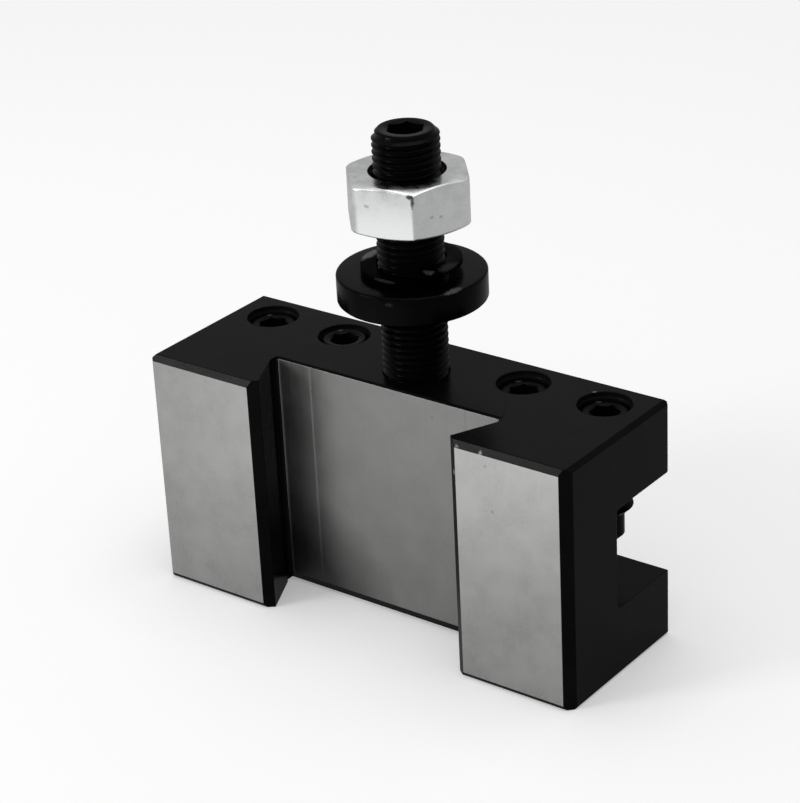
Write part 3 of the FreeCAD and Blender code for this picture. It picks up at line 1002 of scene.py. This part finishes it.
        def wedge(corner: tuple[float, float], first_leg: tuple[float, float],
                  second_leg: tuple[float, float]) -> np.ndarray:
            """Pentagon that takes one bevel off the block.

            Its corners are both ends of the bevel, the same ends moved out of the face that
            each lies on, and the block's corner moved out of both faces, by the length past.

            Args:
                corner: the block's corner.
                first_leg: from the corner to the bevel's first end.
                second_leg: from the corner to its second end.

            Returns:
                Corners of the pentagon.
            """
            at, to, up = np.array(corner), np.array(first_leg), np.array(second_leg)
            out = -np.sign(to + up) * past
            first, second = at + to, at + up
            return np.array([first, second, second + out * (up == 0), at + out,
                             first + out * (to == 0)])

        made = []
        for name, corner, step, size, half in (
                ("lands", (self.front, top), -1, self.land_bevel, wide),
                ("lands_foot", (self.front, 0.0), 1, self.land_foot_bevel, wide),
                ("floor_top", (floor, top), -1, self.floor_bevel, self.floor_bevel_reach),
                ("floor_foot", (floor, 0.0), 1, self.floor_foot_bevel, self.reach())):
            across, tall = size
            outline = wedge(corner, (0.0, step * tall), (across, 0.0))
            made.append((name, outline, 0, -half, half))
        across_y = (0, -wide, wide)
        across_x = (1, self.front - past, self.back + past)
        for name, edge, inwards, size_top, run in (
                ("back", self.back, -1.0, self.edge_break, across_y),
                ("left", -end, 1.0, self.end_bevel, across_x),
                ("right", end, -1.0, self.end_bevel, across_x)):
            for level, z, step, size in (("_top", top, -1, size_top),
                                         ("_foot", 0.0, 1, self.edge_break)):
                outline = wedge((edge, z), (0.0, step * size), (inwards * size, 0.0))
                made.append((name + level, outline, *run))
        return made

    def hole(self, x: float, y: float, radius: float,
             bottom: float) -> tuple[np.ndarray, list]:
        """Cutter of one upright hole with a countersunk rim.

        Its half profile follows the flat bottom and the bore, turns out at 45 degrees from
        hole_lead under the block's top, and is turned round the hole's axis.

        Args:
            x: axis along X.
            y: axis along Y.
            radius: bore radius.
            bottom: height of its flat bottom.

        Returns:
            Points and faces of the cutter.
        """
        lead, above = self.hole_lead, self.height + self.past
        rows = np.array([[0.0, bottom], [radius, bottom], [radius, self.height - lead],
                         [radius + lead + self.past, above], [0.0, above]])
        points = turned(rows, self.hole_columns).reshape(-1, 3) + [x, y, 0.0]
        return points, grid_faces(len(rows), self.hole_columns).tolist()

    def cutters(self) -> list[bpy.types.Object]:
        """Make every solid that is taken out of the block.

        Returns:
            The solids, each with the zone that it leaves behind on its faces.
        """
        reach = self.half_length + self.past
        made = [(name, *prism(*shape), Zone.OXIDE) for name, *shape in (
            ("slot", self.slot_section(), 0, -reach, reach), *self.wedges())]
        made.append(("stud_hole", *self.hole(*self.stud_hole), Zone.TAPPED))
        under = self.slot_ceiling - self.past
        for number, x in enumerate(self.screw_holes, 1):
            cutter = self.hole(x, self.screw_y, self.screw_radius, under)
            made.append((f"screw_hole_{number}", *cutter, Zone.TAPPED))
        return [make_object(name, make_mesh(name, points, faces, [int(zone)] * len(faces)))
                for name, points, faces, zone in made]

    def build(self) -> bpy.types.Object:
        """Build the block: prism, cuts, softened edges and four finishes.

        The plan is carried up to the block's height, and every cutter is taken out of it. The
        zones of plan and cutters pick the finish of each face.

        Returns:
            The block, with its edges softened by a live bevel.
        """
        outline, zones = self.plan()
        points, faces = prism(outline, 2, 0.0, self.height)
        zones = zones + [int(Zone.OXIDE)] * 2
        name = "holder_block"
        block = make_object(name, make_mesh(name, points, faces, zones))
        finishes = (BlackOxide(marks=self.burrs_and_rim_glint), GroundSteel(),
                     ChannelFloor(marks=self.root_painted_shade), TappedOxide())
        materials = [finish.build() for finish in finishes]
        cutters = self.cutters()
        for piece in [block, *cutters]:
            for material in materials:
                piece.data.materials.append(material)
        for cutter in cutters:
            cut = block.modifiers.new(cutter.name, "BOOLEAN")
            cut.operation = "DIFFERENCE"
            cut.solver = "EXACT"
            cut.material_mode = "INDEX"
            cut.object = cutter
        bpy.context.view_layer.update()
        graph = bpy.context.evaluated_depsgraph_get()
        whole = bpy.data.meshes.new_from_object(block.evaluated_get(graph))
        block.modifiers.clear()
        block.data = whole
        whole.name = name
        for cutter in cutters:
            bpy.data.objects.remove(cutter)
        work = bmesh.new()
        work.from_mesh(whole)
        bmesh.ops.remove_doubles(work, verts=work.verts, dist=MERGE_DISTANCE)
        bmesh.ops.dissolve_degenerate(work, edges=work.edges, dist=MERGE_DISTANCE)
        work.to_mesh(whole)
        work.free()
        whole.polygons.foreach_set("use_smooth", np.ones(len(whole.polygons), dtype=bool))
        soft = block.modifiers.new("soft_edges", "BEVEL")
        soft.width = self.soft_edge * MM
        soft.segments = 2
        soft.limit_method = "ANGLE"
        soft.angle_limit = math.radians(self.soft_degrees)
        soft.use_clamp_overlap = False
        soft.harden_normals = True
        soft.miter_outer = "MITER_ARC"
        return stand_in(block, self.node, "holder")


@dataclass
class HeightCollar:
    """The round stop collar."""

    node: str = "height_collar"
    radius: float = 11.0
    thickness: float = 4.3
    rim_break: float = 0.25
    bore: float = 4.95
    bore_lead: float = 0.7
    soft_edge: float = 0.09
    crisp_degrees: float = 40.0
    columns: int = 144

    def build(self) -> bpy.types.Object:
        """Build the collar as one ring-shaped surface round its bore.

        Its half profile is a rectangle from bore to rim, bevelled by rim_break at the rim and
        by bore_lead at the bore. Its corners are softened, and it is turned round the axis.

        Returns:
            The collar.
        """
        x, y, low, _ = centre_of(self.node)
        top, rim, columns = self.thickness, self.radius, self.columns
        profile = np.array([
            [self.bore + self.bore_lead, 0.0], [rim - self.rim_break, 0.0],
            [rim, self.rim_break], [rim, top - self.rim_break],
            [rim - self.rim_break, top], [self.bore + self.bore_lead, top],
            [self.bore, top - self.bore_lead], [self.bore, self.bore_lead]])
        rows = softened(profile, self.soft_edge)
        points = turned(rows, columns).reshape(-1, 3)
        faces, _ = closed_faces(len(rows), columns)
        mesh = make_mesh("collar_turned", points + [x, y, low], faces.tolist())
        shade(mesh, self.crisp_degrees)
        # Painted highlight: a pale streak on the near-right edge of the top rim.
        rim_painted_highlight = Mark((10.5, -1.0, low + top), (1.0, 2.3, 0.25), "#545453")
        dent = Mark((4.1, -7.4, low + 3.3), (0.7, 0.7, 0.35), "#262626")
        finish = BlackOxide(name="black_oxide_turned", deep="#010101", pale="#030303",
                            tool_mark_mm=0.32, tool_mark_depth_mm=0.002, axis=(x, y),
                            marks=(rim_painted_highlight, dent))
        mesh.materials.append(finish.build())
        return stand_in(make_object("collar_turned", mesh), self.node, "height_collar")


@dataclass
class SpringWasher:
    """The split spring washer: one turn of flat wire whose ends stand apart."""

    node: str = "spring_washer"
    inside: float = 5.15
    outside: float = 7.4
    thickness: float = 0.9
    rise: float = 1.3
    turns: float = 0.95
    start_degrees: float = 302.0
    steps: int = 120
    edge: float = 0.1
    crisp_degrees: float = 40.0

    def build(self) -> bpy.types.Object:
        """Build the washer as a section led along a helix.

        At a share s of the way from the low end, the section stands at the angle
        start - 360 * turns * s, so the wire falls anticlockwise, and is lifted by rise * s.

        Returns:
            The washer.
        """
        x, y, low, _ = centre_of(self.node)
        section = softened(np.array([
            [self.inside, 0.0], [self.outside, 0.0], [self.outside, self.thickness],
            [self.inside, self.thickness]]), self.edge)
        share = np.linspace(0.0, 1.0, self.steps + 1)[:, None]
        angle = np.radians(self.start_degrees - 360.0 * self.turns * share)
        points = polar(section[:, 0], angle, section[:, 1] + self.rise * share)
        count = len(section)
        faces = grid_faces(self.steps + 1, count).tolist()
        last = self.steps * count
        faces += [list(range(count)), list(range(last, last + count))]
        mesh = make_mesh("washer_coiled", points.reshape(-1, 3) + [x, y, low], faces)
        shade(mesh, self.crisp_degrees)
        end = low + self.rise + self.thickness
        # Painted highlights and reflections: a pale streak on the far left, grey patches on the
        # top at the raised end, and a faint line along the near top edge.
        painted_highlights = (Mark((-6.0, 1.9, low + 1.4), (0.9, 2.6, 0.9), "#8A8A89"),
                  Mark((7.6, 2.4, end), (1.3, 2.4, 0.8), "#3A3A3A"),
                  Mark((6.9, -1.0, end), (1.6, 0.8, 0.5), "#474746"),
                  Mark((1.6, -4.35, low + self.thickness), (2.9, 0.35, 0.3), "#303030"))
        finish = BlackOxide(name="black_oxide_washer", deep="#010101", pale="#040404",
                            specular=0.006, cloud_mm=2.5, marks=painted_highlights)
        mesh.materials.append(finish.build())
        return stand_in(make_object("washer_coiled", mesh), self.node, "height_collar")


@dataclass
class LockNut:
    """The zinc-plated hexagon nut, coned on both ends."""

    node: str = "lock_nut"
    flats: float = 17.0
    height: float = 7.6
    turn: float = 10.7
    rim: float = 8.1
    cone_degrees: float = 17.0
    corner: float = 2.2
    crisp_corner: float = 0.7
    crisp_number: int = 5
    bore: float = 4.95
    bore_lead: float = 0.7
    rounding: float = 0.32
    rounding_steps: int = 4
    rounding_limit: float = 0.9
    rim_ease: tuple[float, float] = (0.25, 0.02)
    crisp_degrees: float = 24.0
    per_side: int = 32
    stud_reflection_reach: float = 5.6
    stud_reflection_degrees: tuple[float, ...] = (-78.0, -53.0, -28.0)

    def build(self) -> bpy.types.Object:
        """Build the nut as one surface round its bore.

        Each end is flat out to the rim circle and then a cone, which meets the side faces at
        z = drop = (r - rim) tan(cone angle) below the end, with r the hexagon's radius on
        that column. The edge between them is worn round: with t from 0 to 1 and e the
        rounding, it runs through r - e (1-t)^2 and drop - e (1-t)^2 tan(cone angle) + e t^2.
        The edge between the flat end and the cone is eased by a ring inside the rim circle
        and a small fall on it. The corners are worn round too, apart from one that is crisp.
        The bore and both its countersinks are near black: painted shade and painted reflection
        of the dark stud.

        Returns:
            The nut.
        """
        x, y, low, _ = centre_of(self.node)
        angle = hexagon_angles(self.per_side)
        number = np.round(angle / (math.pi / 3)) % 6
        corner = np.where(number == self.crisp_number, self.crisp_corner, self.corner)
        side = hexagon_radius(angle, self.flats, corner)
        slope = math.tan(math.radians(self.cone_degrees))
        drop = (side - self.rim) * slope
        ease = np.minimum(self.rounding, self.rounding_limit * (side - self.rim))
        inside, fall = self.rim_ease
        rows = [(self.bore, self.bore_lead), (self.bore + self.bore_lead, 0.0),
                (self.rim - inside, 0.0), (self.rim, fall)]
        for t in np.linspace(0.0, 1.0, self.rounding_steps + 1):
            rows.append((side - ease * (1 - t) ** 2,
                         drop - ease * slope * (1 - t) ** 2 + ease * t ** 2))
        rows += [(radius, self.height - height) for radius, height in reversed(rows)]
        turned_angle = angle + math.radians(self.turn)
        points = np.stack([polar(r, turned_angle, z) for r, z in rows])
        faces, ring = closed_faces(len(rows), len(angle))
        painted_dark_bore = np.isin(ring, (0, len(rows) - 2, len(rows) - 1))
        mesh = make_mesh("lock_nut_plated", points.reshape(-1, 3) + [x, y, low], faces.tolist(),
                         painted_dark_bore.astype(int).tolist())
        shade(mesh, self.crisp_degrees)
        # Painted reflection: dark patches on the top face in front of the bore, where the dark
        # stud shows in the plate.
        places = polar(self.stud_reflection_reach, np.radians(self.stud_reflection_degrees), self.height) + [x, y, low]
        stud_reflection = tuple(Mark(tuple(place), (2.6, 2.6, 0.9), "#080808", 0.95, 2.0)
                    for place in places.tolist())
        marks = (Mark((6.35, -4.55, low + 6.95), (0.6, 0.5, 0.45), "#2A2A29", 0.9),
                 Mark((6.72, -4.4, low + 6.4), (0.32, 0.32, 1.4), "#4A4A49", 0.85),
                 Mark((-0.28, -5.7, low + 4.8), (0.5, 0.5, 0.35), "#9A9A99", 0.6),
                 Mark((7.75, -1.6, low + 3.3), (0.45, 0.45, 0.35), "#9A9A99", 0.6),
                 Mark((8.28, -0.1, low + 3.0), (0.5, 0.5, 0.3), "#9A9A99", 0.5))
        mesh.materials.append(ZincPlate(marks=marks + stud_reflection).build())
        # Painted shade and reflection: the bore and its countersinks are drawn near black, as
        # shade falls inside and the dark stud shows in them.
        thread = TappedOxide(name="nut_bore_painted_shade", colour="#040404", pitch_mm=1.0,
                             depth_mm=0.1, specular=0.01)
        mesh.materials.append(thread.build())
        return stand_in(make_object("lock_nut_plated", mesh), self.node, "lock_nut")


@dataclass
class Studio:
    """White paper, a low key lamp, a soft lamp overhead, a white room and the camera."""

    camera_place: tuple[float, float, float] = (208.74, -269.68, 197.01)
    azimuth: float = 37.82
    elevation: float = 25.54
    roll: float = -2.95
    lens_mm: float = 115.8
    clip: tuple[float, float] = (0.01, 20.0)
    floor_half: float = 3000.0
    floor_drop: float = 0.02
    key_place: tuple[float, float, float] = (-0.415, -0.571, 0.286)
    key_size: float = 0.22
    key_watts: float = 1.6
    top_place: tuple[float, float, float] = (0.0, 0.05, 0.80)
    top_size: float = 0.60
    top_watts: float = 1.8
    lamp_target: tuple[float, float, float] = (0.0, 0.0, 0.03)
    room_seen: float = 1.0
    room_span: tuple[float, float] = (0.45, 0.85)
    room_low: float = 0.52
    room_high: float = 0.78
    room_diffuse: float = 0.6

    def camera(self) -> None:
        """Place the camera, turned round its own line of sight by the roll.

        It looks against (sin a cos e, -cos a cos e, sin e), with a the azimuth and e the
        elevation.
        """
        a, e, roll = (math.radians(v) for v in (self.azimuth, self.elevation, self.roll))
        back = Vector((math.sin(a) * math.cos(e), -math.cos(a) * math.cos(e), math.sin(e)))
        level = Vector((math.cos(a), math.sin(a), 0.0))
        raised = back.cross(level)
        right = level * math.cos(roll) + raised * math.sin(roll)
        up = raised * math.cos(roll) - level * math.sin(roll)
        turn = Matrix((right, up, back)).transposed()
        data = bpy.data.cameras.new("camera")
        data.lens = self.lens_mm
        data.sensor_width = SENSOR_MM
        data.clip_start, data.clip_end = self.clip
        camera = bpy.data.objects.new("camera", data)
        bpy.context.scene.collection.objects.link(camera)
        camera.matrix_world = (Matrix.Translation(Vector(self.camera_place) * MM)
                               @ turn.to_4x4())
        bpy.context.scene.camera = camera

    def floor(self) -> None:
        """Lay the paper just under the block."""
        half, low = self.floor_half, -self.floor_drop
        points = np.array([[-half, -half, low], [half, -half, low], [half, half, low],
                           [-half, half, low]])
        mesh = make_mesh("paper", points, [[0, 1, 2, 3]])
        mesh.materials.append(StudioPaper().build())
        make_object("paper", mesh)

    def lamp(self, name: str, place: tuple[float, float, float], size: float,
             watts: float) -> None:
        """Hang one square lamp that faces the middle of the object.

        Args:
            name: name of the lamp.
            place: where it hangs, in metres.
            size: its side, in metres.
            watts: its power.
        """
        data = bpy.data.lights.new(name, "AREA")
        data.size = size
        data.energy = watts
        lamp = bpy.data.objects.new(name, data)
        lamp.location = place
        away = Vector(place) - Vector(self.lamp_target)
        lamp.rotation_euler = away.to_track_quat("Z", "Y").to_euler()
        bpy.context.scene.collection.objects.link(lamp)

    def room(self) -> None:
        """Light the room: white to the camera, and brighter overhead in reflections.

        The mirrored strength runs from room_low to room_high while the sine of the elevation
        runs through room_span.
        """
        world = bpy.data.worlds.new("room")
        bpy.context.scene.world = world
        world.use_nodes = True
        tree = world.node_tree
        tree.nodes.clear()
        rays = add_node(tree, "LightPath")
        towards = add_node(tree, "SeparateXYZ", {
            0: add_node(tree, "TexCoord").outputs["Generated"]})
        mirrored = add_node(tree, "MapRange", {
            0: towards.outputs[2], 1: self.room_span[0], 2: self.room_span[1],
            3: self.room_low, 4: self.room_high})
        shiny = add_node(tree, "Math", {0: rays.outputs["Is Glossy Ray"],
                                        1: rays.outputs["Is Transmission Ray"]},
                         operation="MAXIMUM")
        plain = add_node(tree, "Mix", {0: shiny.outputs[0], 2: self.room_diffuse,
                                       3: mirrored.outputs[0]}, data_type="FLOAT")
        strength = add_node(tree, "Mix", {0: rays.outputs["Is Camera Ray"],
                                          2: plain.outputs[0], 3: self.room_seen},
                            data_type="FLOAT")
        glow = add_node(tree, "Background", {"Strength": strength.outputs[0]})
        add_node(tree, "OutputWorld", {"Surface": glow.outputs[0]})

    def build(self) -> None:
        """Set up the whole studio."""
        self.camera()
        self.floor()
        self.lamp("key", self.key_place, self.key_size, self.key_watts)
        self.lamp("top", self.top_place, self.top_size, self.top_watts)
        self.room()
        bpy.context.scene.view_settings.view_transform = "Standard"


@dataclass
class ToolHolder:
    """The whole object, in the order in which it is assembled."""

    block: HolderBlock = field(default_factory=HolderBlock)
    collar: HeightCollar = field(default_factory=HeightCollar)
    washer: SpringWasher = field(default_factory=SpringWasher)
    nut: LockNut = field(default_factory=LockNut)
    socket_turns: tuple[float, ...] = (20.0, 48.0, 5.0, 33.0)
    glint_from_axis: tuple[float, float] = (-2.65, 2.1)

    def screws(self) -> list[ThreadedScrew]:
        """Describe the height stud and the four set screws.

        Returns:
            The five screws, not yet built.
        """
        stud = ThreadedScrew(
            node="height_stud", body="holder", slot="stud_steel",
            finish=BlackOxide(name="black_oxide_stud", deep="#040404", pale="#070707"),
            diameter=9.8, pitch=1.0, end_bevel=0.9, socket=5.0, socket_depth=6.0)
        made = [stud]
        for number, turn in enumerate(self.socket_turns, 1):
            node = f"set_screw_{number}"
            x, y, _, top = centre_of(node)
            # Painted highlight: a grey glint on the far left of each screw's top.
            worn = Mark((x + self.glint_from_axis[0], y + self.glint_from_axis[1], top),
                        (0.8, 0.6, 0.4), "#565655")
            made.append(ThreadedScrew(
                node=node, body=node, slot="screw_steel",
                finish=BlackOxide(name=f"black_oxide_screw_{number}", specular=0.035,
                                  marks=(worn,)),
                diameter=7.9, pitch=1.25, end_bevel=0.8, socket=4.0, socket_depth=5.0,
                turn=turn, dog_diameter=5.3, dog_length=4.0, dog_bevel=0.7))
        return made

    def build(self) -> None:
        """Build every piece."""
        for maker in (self.block, self.collar, self.washer, self.nut, *self.screws()):
            piece = maker.build()
            LOG.info("%s: %d faces, stands for %s", piece.name, len(piece.data.polygons),
                     maker.node)


def main() -> None:
    """Load the frame and build the object in its studio."""
    logging.basicConfig(level=logging.INFO, format="%(name)s: %(message)s")
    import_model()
    Studio().build()
    ToolHolder().build()
    bpy.context.view_layer.update()


if __name__ == "__main__":
    main()
